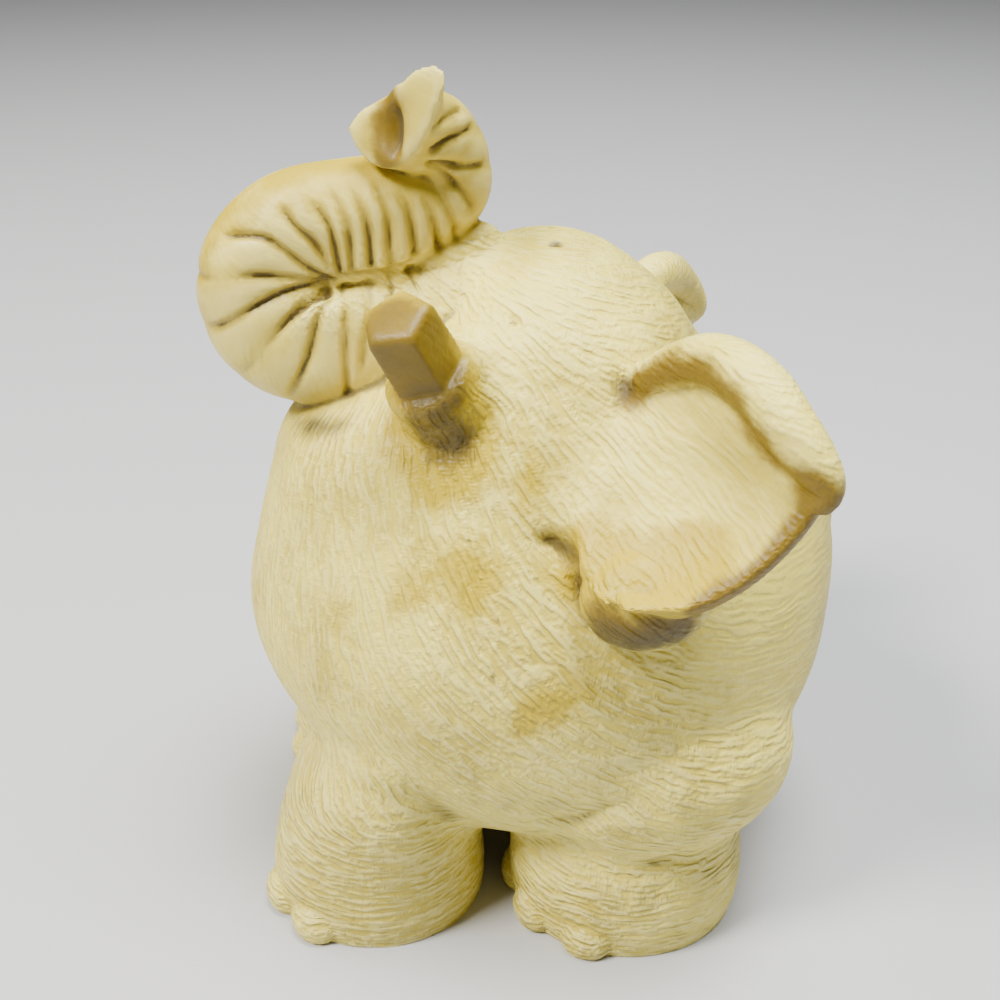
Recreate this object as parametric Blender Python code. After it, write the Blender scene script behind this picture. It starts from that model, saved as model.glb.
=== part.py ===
"""Chubby elephant figurine with a raised, folded trunk, carved from one lump of pale stone.

Metres, +Z up. The figure faces -Y, its left side is +X, and its feet stand on z = 0.
The origin is at the middle of the bounding box's bottom.
"""

import math

import bmesh
import bpy
import numpy as np
from mathutils import Matrix, Vector

# The one driving size. Every place and radius below is in hundredths of this height.
height = 0.100
unit = height / 100

# Fineness of the solid, in the same hundredths
bodyGrain = 0.8
solidGrain = 0.5
bodySoftening = 22
solidSoftening = 1
bodyFaces = 5700
trunkFaces = 4000

# Torso and head as one egg, in level slices from the belly up: height, front, back, half width
egg = {
    "slices": ((9, -10, 20, 12), (11.5, -15, 26, 18), (16, -20.5, 32.5, 23.5), (22, -25, 37.6, 28),
               (30, -29.6, 40.4, 30.4), (38, -31.2, 41, 30.8), (46, -29.6, 40.6, 29.4), (54, -27.4, 37.8, 26),
               (60, -25.4, 33, 23), (64.5, -20.5, 28, 21), (69, -12.5, 23.4, 19), (74, -8, 20, 16),
               (78, -5, 15.5, 11.8), (80.4, -1.5, 12, 7.6), (81.8, 2, 8, 3)),
    "rings": 60,
    "sides": 48,
}
# Round masses in pairs, one on each side: middle, radii, and nose-up tilt in degrees
pairedMasses = {
    "cheek": ((10.5, -3.5, 66), (8.0, 8.5, 9.5), -20),
    "thigh": ((17.2, 17.4, 24.6), (14.0, 17.2, 13.0), 6),
}

# How many sides and rings the small round forms have
ballSides = 32
ballRings = 20

# Legs as stations from the sole up: height, half width across, half length, shift forwards
legs = {
    "front": {
        "middle": (14.0, -16.0),
        "stations": ((-3, 11.2, 12.6, 0), (0.4, 12.0, 13.3, 0), (4, 12.4, 13.6, 0), (9, 12.5, 13.0, 0),
                     (15, 13.0, 12.0, -0.6), (21, 13.2, 10.6, -1.4), (28, 12.0, 8.6, -3.4)),
        "nails": (-112, -72, -38),
    },
    "rear": {
        "middle": (16.3, 15.4),
        "stations": ((-3, 11.5, 13.4, 0), (0.4, 12.2, 14.2, 0), (4, 12.8, 14.7, 0), (8.5, 12.9, 14.6, 0),
                     (13, 11.8, 13.6, -0.4), (18, 10.0, 12.4, -1.6), (26, 9.5, 12.0, -3)),
        "nails": (-98, -62, -26),
    },
}
legRings = 24
legSides = 32
# Toenails: radii outward, across and up, height of the middle, and share of the sole's radius
nail = {"radii": (2.2, 3.2, 3.0), "height": 1.9, "reach": 0.96}

# Trunk centreline from inside the head to the tip: place, then radius
trunk = {
    "line": ((0, 8, 74.5, 7.4), (0, -2, 73.6, 7.7), (0, -11, 71.2, 7.7), (0, -19.2, 69.7, 7.7),
             (0, -25.2, 71.9, 7.4), (0, -26.6, 77.6, 6.8), (0, -22.6, 82.5, 6.3), (0, -15.5, 84.2, 6.0),
             (0, -9.2, 85.3, 5.3), (0.2, -5.6, 87.0, 4.5), (0.8, -5.2, 90.2, 4.1), (2.0, -6.8, 93.0, 4.3),
             (3.6, -9.2, 94.0, 4.6), (5.4, -11.0, 94.4, 4.7)),
    "stations": 220,
    "sides": 32,
    # Folds: distance apart, depth as a share of the radius, and sharpness of the crease
    "foldPitch": 2.35,
    "foldDepth": 0.15,
    "foldShape": 0.6,
    # Shares of the length: where the head ends, where the folds set in, and the smooth strip on the
    # outer side, with the share of the folds that it takes away and how softly it ends
    "headEnd": 0.2,
    "foldsFrom": 0.2,
    "fade": 0.09,
    "smoothStrip": (0.42, 0.68),
    "stripCalm": 0.9,
    "stripShape": 1.5,
    # The open end's hollow: distance past the end, share of the radius
    "hollow": ((0.3, 0.84), (0.0, 0.64), (-1.2, 0.48), (-3.0, 0.3)),
    "tipReach": 5.0,
}
# Points drawn out of the trunk's open end: angle around it, outward, forward, sharpness
trunkPoints = {"finger": (57, 4.6, 0.6, 12), "lip": (-168, 1.8, 1.2, 5)}
# How far from the trunk's surface its finer faces go
trunkMargin = 1.2
# Fills the crease between the two lower runs of the trunk
trunkWeb = ((0, -11.5, 78.0), (4.2, 8.2, 2.6), -10)

# Tusks: a wrinkled sheath and a stub with a slanting cut end
tusk = {
    "root": (11, -2.0, 61),
    "ring": (15.8, -8.0, 72.0),
    "end": (18.8, -10.8, 79.4),
    # Share of the way from root to ring, then radius
    "sheath": ((0, 6.6), (0.6, 4.8), (0.9, 4.45), (1, 3.85)),
    "sheathSides": 24,
    "stubRadii": (3.3, 3.4),
    "stubSunk": 0.2,
    "facets": 7,
}

# A short tail that lies against the rump, from the top down: height, then radius
tail = {
    "stations": ((52, 2.0), (47, 1.9), (41, 1.7), (35, 1.6), (30, 1.7), (26.5, 2.3), (23.5, 1.9),
                 (21.5, 0.9)),
    "sway": 2.4,
    "swayLength": 9,
    "sunk": 0.5,
    "rings": 30,
    "sides": 16,
}

# Ears: the line that joins the head, then the free outline, both from the top down
ear = {
    "joined": ((12, 10.5, 68), (15, 10.5, 68.5), (18.5, 8.5, 65), (22, 7, 60.5), (26.5, 6.4, 56),
               (29.5, 9.5, 52)),
    "free": ((16.5, 14.0, 71.2), (21.0, 19.0, 75.4), (26.5, 22.8, 75.6), (31.5, 26.0, 72.2),
             (34.0, 28.8, 68.0), (34.8, 27.2, 63.8), (35.7, 22.6, 58.2), (36.0, 17.4, 53.4),
             (35.2, 13.0, 50.8), (33.4, 10.8, 49.8)),
    "thickness": (3.2, 5.2),
    "cup": 2.4,
    "rows": 40,
    "sides": 32,
    # The roll along the top edge: radius, share of the edge, and where its ends taper off
    "rollRadius": 2.9,
    "rollShare": 0.5,
    "rollTaper": (0.12, 0.9),
    "rollKnots": 9,
    "rollSides": 16,
}
# The far ear hangs lower than the near one
farEarDrop = -7.5


def smoothLine(knots, count):
    """Points along a soft curve through the knots, each with all the knot's values."""
    knots = np.array(knots, dtype=float)
    padded = np.vstack([2 * knots[0] - knots[1], knots, 2 * knots[-1] - knots[-2]])
    places = np.linspace(0, len(knots) - 1, count)
    line = []
    for place in places:
        i = min(int(place), len(knots) - 2)
        t = place - i
        a, b, c, d = padded[i:i + 4]
        line.append(0.5 * (2 * b + (c - a) * t + (2 * a - 5 * b + 4 * c - d) * t ** 2
                           + (3 * b - a - 3 * c + d) * t ** 3))
    return np.array(line)


def addBall(bm, middle, radii, tilt=0, turn=0):
    """A closed ellipsoid; tilt is about X and turn about Z, in degrees."""
    matrix = (Matrix.Translation(Vector(middle) * unit)
              @ Matrix.Rotation(math.radians(turn), 4, "Z")
              @ Matrix.Rotation(math.radians(tilt), 4, "X")
              @ Matrix.Diagonal((radii[0] * unit, radii[1] * unit, radii[2] * unit, 1)))
    bmesh.ops.create_uvsphere(bm, u_segments=ballSides, v_segments=ballRings, radius=1, matrix=matrix)


def ringMatrix(place, direction, across, along):
    """Carries a unit circle to a ring around a line that runs in the given direction."""
    direction = Vector(direction).normalized()
    side = Vector((1, 0, 0))
    side = (side - side.dot(direction) * direction).normalized()
    other = direction.cross(side)
    frame = Matrix((side, other, direction)).transposed().to_4x4()
    spread = Matrix.Diagonal((across * unit, along * unit, unit, 1))
    return Matrix.Translation(Vector(place) * unit) @ frame @ spread


def sweep(bm, matrices, sides):
    """A closed tube through a row of ring matrices; gives back the vertices of each ring."""
    made = bmesh.ops.create_circle(bm, cap_ends=True, segments=sides, radius=1, matrix=matrices[0])
    start = made["verts"][0].link_faces[0]
    start.normal_flip()
    edges = list(start.edges)
    rings = [made["verts"]]
    for last, here in zip(matrices, matrices[1:]):
        grown = bmesh.ops.extrude_edge_only(bm, edges=edges)["geom"]
        verts = [item for item in grown if isinstance(item, bmesh.types.BMVert)]
        edges = [item for item in grown if isinstance(item, bmesh.types.BMEdge)
                 and all(v in verts for v in item.verts)]
        bmesh.ops.transform(bm, matrix=here @ last.inverted(), verts=verts)
        rings.append(verts)
    bmesh.ops.contextual_create(bm, geom=edges)
    return rings


def directions(places):
    """The unit direction of travel at each place of a line."""
    travel = np.gradient(places, axis=0)
    return travel / np.linalg.norm(travel, axis=1)[:, None]


def addTrunk(bm):
    line = smoothLine(trunk["line"], trunk["stations"])
    places, radii = line[:, :3], line[:, 3]
    ways = directions(places)
    steps = np.linalg.norm(np.diff(places, axis=0), axis=1)
    travelled = np.concatenate([[0], np.cumsum(steps)])
    share = travelled / travelled[-1]
    matrices = [ringMatrix(place, way, r, r) for place, way, r in zip(places, ways, radii)]
    for depth, narrow in trunk["hollow"]:
        matrices.append(ringMatrix(places[-1] + ways[-1] * depth, ways[-1], *[radii[-1] * narrow] * 2))
    rings = sweep(bm, matrices, trunk["sides"])
    begins, ends = trunk["smoothStrip"]
    for i, far in enumerate(travelled):
        groove = 1 - abs(math.sin(math.pi * far / trunk["foldPitch"])) ** trunk["foldShape"]
        begun = min(1, max(0, (share[i] - trunk["foldsFrom"]) / trunk["fade"]))
        strip = min(1, max(0, min(share[i] - begins, ends - share[i]) / trunk["fade"]))
        back = matrices[i].inverted()
        for vert in rings[i]:
            spot = back @ vert.co
            outer = max(0, -spot.y) ** trunk["stripShape"]
            factor = 1 - trunk["foldDepth"] * groove * begun * (1 - trunk["stripCalm"] * outer * strip)
            vert.co = matrices[i] @ Vector((spot.x * factor, spot.y * factor, spot.z))
    for i, ring in enumerate(rings):
        far = travelled[min(i, len(travelled) - 1)]
        near = 1 - (travelled[-1] - far) / trunk["tipReach"]
        if near <= 0:
            continue
        end, back = matrices[i], matrices[i].inverted()
        outwardScale = end.col[0].xyz.length
        for vert in ring:
            spot = back @ vert.co
            angle = math.atan2(spot.y, spot.x)
            for turn, outward, forward, sharp in trunkPoints.values():
                pull = near ** 2 * max(0, math.cos(angle - math.radians(turn))) ** sharp
                radial = end.to_3x3() @ Vector((math.cos(angle), math.sin(angle), 0)) / outwardScale
                shrink = outwardScale / (radii[-1] * unit)
                vert.co += (radial * outward + Vector(ways[-1]) * forward) * pull * shrink * unit
    addBall(bm, *trunkWeb)


def addLeg(bm, leg, side):
    x, y = leg["middle"]
    rows = smoothLine(leg["stations"], legRings)
    sweep(bm, [ringMatrix((side * x, y - shift, z), (0, 0, 1), across, along)
               for z, across, along, shift in rows], legSides)


def addNails(bm, leg, side):
    x, y = leg["middle"]
    across, along = leg["stations"][1][1:3]
    for angle in leg["nails"]:
        dx = math.cos(math.radians(angle)) if side > 0 else -math.cos(math.radians(angle))
        dy = math.sin(math.radians(angle))
        middle = (side * x + across * nail["reach"] * dx, y + along * nail["reach"] * dy, nail["height"])
        addBall(bm, middle, nail["radii"], turn=math.degrees(math.atan2(dy, dx)))


def addTail(bm):
    rump = smoothLine(egg["slices"], egg["rings"])
    line = []
    for z, radius in smoothLine(tail["stations"], tail["rings"]):
        back = np.interp(z, rump[:, 0], rump[:, 2])
        line.append((tail["sway"] * math.sin(z / tail["swayLength"]), back - tail["sunk"], z, radius))
    line = np.array(line)
    ways = directions(line[:, :3])
    sweep(bm, [ringMatrix(spot[:3], way, spot[3], spot[3]) for spot, way in zip(line, ways)], tail["sides"])


def addTusk(bm, side):
    root, ring, end = (Vector((side * p[0], p[1], p[2])) for p in (tusk["root"], tusk["ring"], tusk["end"]))
    sweep(bm, [ringMatrix(root.lerp(ring, share), ring - root, r, r) for share, r in tusk["sheath"]],
          tusk["sheathSides"])
    stubWay = end - ring
    low, high = tusk["stubRadii"]
    bottom = ring.lerp(root, tusk["stubSunk"])
    sweep(bm, [ringMatrix(bottom, stubWay, low, low), ringMatrix(end, stubWay, high, high)], tusk["facets"])


def addEar(bm, side, drop=0):
    """A cupped leaf in rows from the head to its free edge, with a thick roll along its top edge."""
    joined = smoothLine(ear["joined"], ear["rows"])
    free = smoothLine(ear["free"], ear["rows"])
    free[:, 2] += drop
    downwards = directions((joined + free) / 2)
    thin, thick = ear["thickness"]
    matrices = []
    for i, (inner, outer, down) in enumerate(zip(joined, free, downwards)):
        across = (Vector(outer) - Vector(inner)) / 2
        normal = Vector(down).cross(across).normalized()
        depth = (thin + (thick - thin) * (i / ear["rows"]) ** 2) / 2
        ring = Matrix.Identity(4)
        for column, axis in enumerate((across, normal * depth, across.cross(normal).normalized())):
            ring.col[column].xyz = axis * unit
        ring.col[3].xyz = (Vector(inner) + Vector(outer)) / 2 * unit
        matrices.append(ring)
    rings = sweep(bm, matrices, ear["sides"])
    for i, ring in enumerate(rings):
        back = matrices[i].inverted()
        normal = matrices[i].col[1].xyz.normalized()
        middle = math.sin(math.pi * i / (ear["rows"] - 1)) ** 0.5
        for vert in ring:
            spot = back @ vert.co
            vert.co -= normal * ear["cup"] * unit * middle * (1 - spot.x ** 2)
    knots = [free[int(i)] for i in np.linspace(0, ear["rows"] * ear["rollShare"], ear["rollKnots"])]
    rim = smoothLine(knots, ear["rows"])
    radii = ear["rollRadius"] * np.sin(math.pi * np.linspace(*ear["rollTaper"], len(rim))) ** 0.5
    roll = [ringMatrix(place, way, r, r) for place, way, r in zip(rim, directions(rim), radii)]
    rings += sweep(bm, roll, ear["rollSides"])
    if side < 0:
        for ring in rings:
            bmesh.ops.transform(bm, matrix=Matrix.Diagonal((-1, 1, 1, 1)), verts=ring)


def applied(lump):
    """A new mesh with an object's modifiers in it; the object goes."""
    bpy.context.view_layer.update()
    graph = bpy.context.evaluated_depsgraph_get()
    result = bpy.data.meshes.new_from_object(lump.evaluated_get(graph))
    bpy.data.objects.remove(lump)
    return result


def remeshed(mesh, grain, softening):
    """One closed skin around all the shells of a mesh, softened."""
    lump = bpy.data.objects.new("lump", mesh)
    bpy.context.scene.collection.objects.link(lump)
    skin = lump.modifiers.new("skin", "REMESH")
    skin.mode = "VOXEL"
    skin.voxel_size = grain * unit
    soften = lump.modifiers.new("soften", "SMOOTH")
    soften.factor = 0.5
    soften.iterations = softening
    return applied(lump)


def triangles(polygon):
    return len(polygon.vertices) - 2


def thinned(mesh):
    """Fewer faces: first the body is thinned to its share of them, then the folded trunk."""
    line = smoothLine(trunk["line"], trunk["stations"])
    line = line[int(trunk["headEnd"] * len(line))::5]
    for wanted, budget in ((False, bodyFaces), (True, trunkFaces)):
        chosen = []
        for vert in mesh.vertices:
            away = np.linalg.norm(line[:, :3] - np.array(vert.co) / unit, axis=1) - line[:, 3]
            chosen.append((away.min() < trunkMargin) == wanted)
        lump = bpy.data.objects.new("lump", mesh)
        bpy.context.scene.collection.objects.link(lump)
        group = lump.vertex_groups.new(name="chosen")
        group.add([i for i, taken in enumerate(chosen) if taken], 1, "REPLACE")
        whole = sum(triangles(face) for face in mesh.polygons)
        kept = sum(triangles(face) for face in mesh.polygons if not chosen[face.vertices[0]])
        thin = lump.modifiers.new("thin", "DECIMATE")
        thin.ratio = (kept + budget) / whole
        thin.vertex_group = group.name
        mesh = applied(lump)
    return mesh


def bodyMesh():
    """Torso, head and legs, blended into one soft form."""
    bm = bmesh.new()
    slices = smoothLine(egg["slices"], egg["rings"])
    sweep(bm, [ringMatrix((0, (front + back) / 2, z), (0, 0, 1), half, (back - front) / 2)
               for z, front, back, half in slices], egg["sides"])
    for side in (1, -1):
        for (x, y, z), radii, tilt in pairedMasses.values():
            addBall(bm, (side * x, y, z), radii, tilt)
        for leg in legs.values():
            addLeg(bm, leg, side)
    mesh = bpy.data.meshes.new("lump")
    bm.to_mesh(mesh)
    bm.free()
    return remeshed(mesh, bodyGrain, bodySoftening)


def figureMesh():
    """The body with its nails, trunk, tusks and ears, as one skin."""
    bm = bmesh.new()
    bm.from_mesh(bodyMesh())
    for leg in legs.values():
        for side in (1, -1):
            addNails(bm, leg, side)
    addTrunk(bm)
    addTail(bm)
    for side in (1, -1):
        addTusk(bm, side)
    addEar(bm, 1)
    addEar(bm, -1, farEarDrop)
    bmesh.ops.recalc_face_normals(bm, faces=bm.faces[:])
    mesh = bpy.data.meshes.new("shells")
    bm.to_mesh(mesh)
    bm.free()
    return thinned(remeshed(mesh, solidGrain, solidSoftening))


def cutSoles(mesh):
    """Cuts the feet flat at z = 0 and moves the origin to the middle of the bottom."""
    bm = bmesh.new()
    bm.from_mesh(mesh)
    whole = bm.verts[:] + bm.edges[:] + bm.faces[:]
    bmesh.ops.bisect_plane(bm, geom=whole, dist=1e-6, plane_co=(0, 0, 0), plane_no=(0, 0, 1),
                           clear_inner=True)
    rims = [edge for edge in bm.edges if edge.is_boundary]
    bmesh.ops.holes_fill(bm, edges=rims, sides=0)
    bmesh.ops.triangulate(bm, faces=bm.faces[:])
    bmesh.ops.recalc_face_normals(bm, faces=bm.faces[:])
    places = np.array([vert.co for vert in bm.verts])
    middle = (places.min(axis=0) + places.max(axis=0)) / 2
    bmesh.ops.translate(bm, verts=bm.verts[:], vec=(-middle[0], -middle[1], 0))
    bm.to_mesh(mesh)
    bm.free()
    return middle


def stoneMaterial():
    material = bpy.data.materials.new("waxed stone")
    material.use_nodes = True
    shader = material.node_tree.nodes["Principled BSDF"]
    shader.inputs["Base Color"].default_value = (0.66, 0.58, 0.33, 1)
    shader.inputs["Roughness"].default_value = 0.45
    shader.inputs["Metallic"].default_value = 0
    return material


for old in list(bpy.data.objects):
    bpy.data.objects.remove(old)

mesh = figureMesh()
shift = cutSoles(mesh)
mesh.name = "elephant"
mesh.materials.clear()
mesh.materials.append(stoneMaterial())
mesh.shade_smooth()
elephant = bpy.data.objects.new("elephant", mesh)
bpy.context.scene.collection.objects.link(elephant)
print("elephant", len(mesh.polygons), "faces, shifted", [round(v * 1000, 2) for v in shift])
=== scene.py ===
import math

import bmesh
import bpy
import numpy as np
from mathutils import Matrix, Vector


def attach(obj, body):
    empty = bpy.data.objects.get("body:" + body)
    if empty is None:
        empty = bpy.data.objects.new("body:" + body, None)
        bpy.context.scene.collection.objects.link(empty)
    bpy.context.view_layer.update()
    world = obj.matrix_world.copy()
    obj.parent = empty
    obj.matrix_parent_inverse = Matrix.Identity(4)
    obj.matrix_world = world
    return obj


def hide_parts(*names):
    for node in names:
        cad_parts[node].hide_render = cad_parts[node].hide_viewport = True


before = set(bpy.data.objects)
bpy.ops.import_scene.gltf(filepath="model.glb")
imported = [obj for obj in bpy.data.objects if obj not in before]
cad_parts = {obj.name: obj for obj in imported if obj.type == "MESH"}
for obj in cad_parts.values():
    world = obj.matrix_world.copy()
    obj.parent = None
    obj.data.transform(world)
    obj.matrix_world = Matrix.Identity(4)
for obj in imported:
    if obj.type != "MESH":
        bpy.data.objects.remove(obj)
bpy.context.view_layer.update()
print("frame loaded")

unit = 0.001              # the figure's sizes are in millimetres
moved = (0.01, 4.26)      # the finished figure moves back by this much, to stand over the origin
farAway = 99.0            # more than any distance that matters on the skin

# How fine the skin is, how many triangles it keeps, and how its hollows are measured
skin = {
    "bodyGrain": 0.8,
    "bodySoftening": 22,
    "grain": 0.34,
    "softening": 1,
    "triangles": 190000,
    "fineRounds": 4,
    "broadRounds": 40,
    "evenRounds": 2,
    "fineDepth": 0.12,
    "broadDepth": 0.8,
    "trunkReach": 1.2,
}


def smoothLine(knots, count):
    # a soft curve through the knots, which carry their radii along
    knots = np.array(knots, dtype=float)
    padded = np.vstack([2 * knots[0] - knots[1], knots, 2 * knots[-1] - knots[-2]])
    line = []
    for place in np.linspace(0, len(knots) - 1, count):
        i = min(int(place), len(knots) - 2)
        t = place - i
        a, b, c, d = padded[i:i + 4]
        line.append(0.5 * (2 * b + (c - a) * t + (2 * a - 5 * b + 4 * c - d) * t ** 2
                           + (3 * b - a - 3 * c + d) * t ** 3))
    return np.array(line)


def directions(places):
    travel = np.gradient(places, axis=0)
    return travel / np.linalg.norm(travel, axis=1)[:, None]


def addBall(bm, middle, radii, tilt=0, turn=0):
    matrix = (Matrix.Translation(Vector(middle) * unit)
              @ Matrix.Rotation(math.radians(turn), 4, "Z")
              @ Matrix.Rotation(math.radians(tilt), 4, "X")
              @ Matrix.Diagonal((radii[0] * unit, radii[1] * unit, radii[2] * unit, 1)))
    return bmesh.ops.create_uvsphere(bm, u_segments=48, v_segments=32, radius=1, matrix=matrix)["verts"]


def ringMatrix(place, direction, across, along):
    # carries a unit circle to a ring around a line
    direction = Vector(direction).normalized()
    side = Vector((1, 0, 0))
    side = (side - side.dot(direction) * direction).normalized()
    turned = Matrix((side, direction.cross(side), direction)).transposed().to_4x4()
    return (Matrix.Translation(Vector(place) * unit) @ turned
            @ Matrix.Diagonal((across * unit, along * unit, unit, 1)))


def sweep(bm, matrices, sides):
    # a closed tube through a row of rings
    made = bmesh.ops.create_circle(bm, cap_ends=True, segments=sides, radius=1, matrix=matrices[0])
    start = made["verts"][0].link_faces[0]
    start.normal_flip()
    edges = list(start.edges)
    rings = [made["verts"]]
    for last, here in zip(matrices, matrices[1:]):
        grown = bmesh.ops.extrude_edge_only(bm, edges=edges)["geom"]
        verts = [item for item in grown if isinstance(item, bmesh.types.BMVert)]
        known = set(verts)
        edges = [item for item in grown if isinstance(item, bmesh.types.BMEdge)
                 and item.verts[0] in known and item.verts[1] in known]
        bmesh.ops.transform(bm, matrix=here @ last.inverted(), verts=verts)
        rings.append(verts)
    bmesh.ops.contextual_create(bm, geom=edges)
    return rings


# Torso and head: level slices from the belly up (height, front, back, half width), then round masses
body = {
    "slices": ((9, -10, 20, 12), (11.5, -15, 26, 18), (16, -20.5, 32.5, 23.5), (22, -25, 37.6, 28),
               (30, -29.6, 40.4, 30.4), (38, -31.2, 41, 30.8), (46, -29.6, 40.6, 29.4), (54, -27.4, 37.8, 26),
               (60, -25.4, 33, 23), (64.5, -20.5, 28, 21), (69, -12.5, 23.4, 19), (74, -8, 20, 16),
               (78, -5, 15.5, 11.8), (80.4, -1.5, 12, 7.6), (81.8, 2, 8, 3)),
    "cheek": ((10.5, -3.5, 66), (8.0, 8.5, 9.5), -20),
    "thigh": ((17.2, 17.4, 24.6), (14.0, 17.2, 13.0), 6),
}


def addBody(bm):
    slices = smoothLine(body["slices"], 80)
    sweep(bm, [ringMatrix((0, (front + back) / 2, z), (0, 0, 1), half, (back - front) / 2)
               for z, front, back, half in slices], 64)
    for mass in ("cheek", "thigh"):
        (x, y, z), radii, tilt = body[mass]
        for side in (1, -1):
            addBall(bm, (side * x, y, z), radii, tilt)


# Legs: stations from the sole up (height, half width, half length, shift forwards), and the nails' places
frontLeg = {
    "middle": (14.0, -16.0),
    "stations": ((-3, 11.2, 12.6, 0), (0.4, 12.0, 13.3, 0), (4, 12.4, 13.6, 0), (9, 12.5, 13.0, 0),
                 (15, 13.0, 12.0, -0.6), (21, 13.2, 10.6, -1.4), (28, 12.0, 8.6, -3.4)),
    "nails": (-112, -72, -38),
}
rearLeg = {
    "middle": (16.3, 15.4),
    "stations": ((-3, 11.5, 13.4, 0), (0.4, 12.2, 14.2, 0), (4, 12.8, 14.7, 0), (8.5, 12.9, 14.6, 0),
                 (13, 11.8, 13.6, -0.4), (18, 10.0, 12.4, -1.6), (26, 9.5, 12.0, -3)),
    "nails": (-98, -62, -26),
}
nail = {"radii": (2.2, 3.2, 3.0), "height": 1.9, "reach": 0.96}


def addLeg(bm, leg, side):
    x, y = leg["middle"]
    sweep(bm, [ringMatrix((side * x, y - shift, z), (0, 0, 1), across, along)
               for z, across, along, shift in smoothLine(leg["stations"], 32)], 48)


def addNails(bm, leg, side):
    x, y = leg["middle"]
    across, along = leg["stations"][1][1:3]
    for angle in leg["nails"]:
        dx = side * math.cos(math.radians(angle))
        dy = math.sin(math.radians(angle))
        middle = (side * x + across * nail["reach"] * dx, y + along * nail["reach"] * dy, nail["height"])
        addBall(bm, middle, nail["radii"], turn=math.degrees(math.atan2(dy, dx)))


# Trunk: centreline from inside the head to the tip, with radii
trunk = {
    "line": ((0, 8, 74.5, 7.4), (0, -2, 73.6, 7.7), (0, -11, 71.2, 7.7), (0, -19.2, 69.7, 7.7),
             (0, -25.2, 71.9, 7.4), (0, -26.6, 77.6, 6.8), (0, -22.6, 82.5, 6.3), (0, -15.5, 84.2, 6.0),
             (0, -9.2, 85.3, 5.3), (0.2, -5.6, 87.0, 4.5), (0.8, -5.2, 90.2, 4.1), (2.0, -6.8, 93.0, 4.3),
             (3.6, -9.2, 94.0, 4.5), (5.4, -11.0, 94.4, 4.5)),
    "stations": 420,
    "sides": 64,
    # along the length: share of it, distance between folds, depth inside, at the side and outside the bend
    "folds": ((0.0, 2.3, 0.0, 0.0, 0.0), (0.84, 2.5, 0.0, 0.0, 0.0), (0.87, 2.5, 0.07, 0.07, 0.06),
              (0.94, 2.5, 0.07, 0.07, 0.06), (0.97, 2.5, 0.0, 0.02, 0.03), (1.0, 2.5, 0.0, 0.0, 0.0)),
    "foldShape": 0.36,
    "foldWander": 0.1,
    "hollow": ((0.3, 0.8), (0.3, 0.6), (0.1, 0.4), (0.0, 0.2)),
    "tipReach": 5.0,
    # the three-cornered end: angle around it, radius, forwards
    "tip": ((-180, 5.0, 0.6), (-163, 5.9, 0.9), (-134, 5.1, 0.6), (-67, 3.4, 0.1), (-44, 3.4, 0), (0, 4.2, 0),
            (32, 6.2, 0), (43, 8.4, 0), (52, 9.4, 0), (61, 8.8, 0.2), (85, 4.8, 0.2), (130, 2.8, 0),
            (160, 3.8, 0.3), (180, 5.0, 0.6)),
    "webs": (((0, -12.6, 78.4), (5.0, 8.0, 2.3), -6), ((0, -7.0, 79.8), (4.0, 7.4, 3.2), 14)),
    "square": ((0.22, 0.32, 0.76, 0.84), (0, 0.65, 0.65, 0)),     # how far the runs' inner corners fill out
}
trunkLine = smoothLine(trunk["line"], trunk["stations"])


def foldedRing(ring, matrix, phase, depths, square, chance):
    # narrow grooves between broad folds, each a little uneven on its way around
    fold = int(round(phase))
    wander = trunk["foldWander"] * (0.6 + chance[fold])
    back = matrix.inverted()
    for vert in ring:
        spot = back @ vert.co
        angle = math.atan2(spot.y, spot.x)
        bent = phase + wander * math.sin(2 * angle + 6.3 * chance[fold + 1])
        groove = 1 - abs(math.sin(math.pi * bent)) ** trunk["foldShape"]
        groove *= 0.8 + 0.4 * chance[fold + 2]
        factor = 1 - groove * np.interp(-spot.y, (-1, 0, 1), depths)
        if spot.y > 0:
            spot.x = math.copysign(abs(spot.x) ** (1 - square), spot.x)
            spot.y = spot.y ** (1 - square)
        vert.co = matrix @ Vector((spot.x * factor, spot.y * factor, spot.z))


def drawnTip(ring, matrix, near, way):
    # the finger and the lip at the end
    back = matrix.inverted()
    scale = matrix.col[0].xyz.length
    for vert in ring:
        spot = back @ vert.co
        angle = math.atan2(spot.y, spot.x)
        radial = matrix.to_3x3() @ Vector((math.cos(angle), math.sin(angle), 0)) / scale
        turns, reaches, forwards = zip(*trunk["tip"])
        outward = np.interp(math.degrees(angle), turns, reaches) - trunkLine[-1, 3]
        forward = np.interp(math.degrees(angle), turns, forwards)
        vert.co += (radial * outward + way * forward) * near ** 2 * scale / trunkLine[-1, 3]


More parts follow.
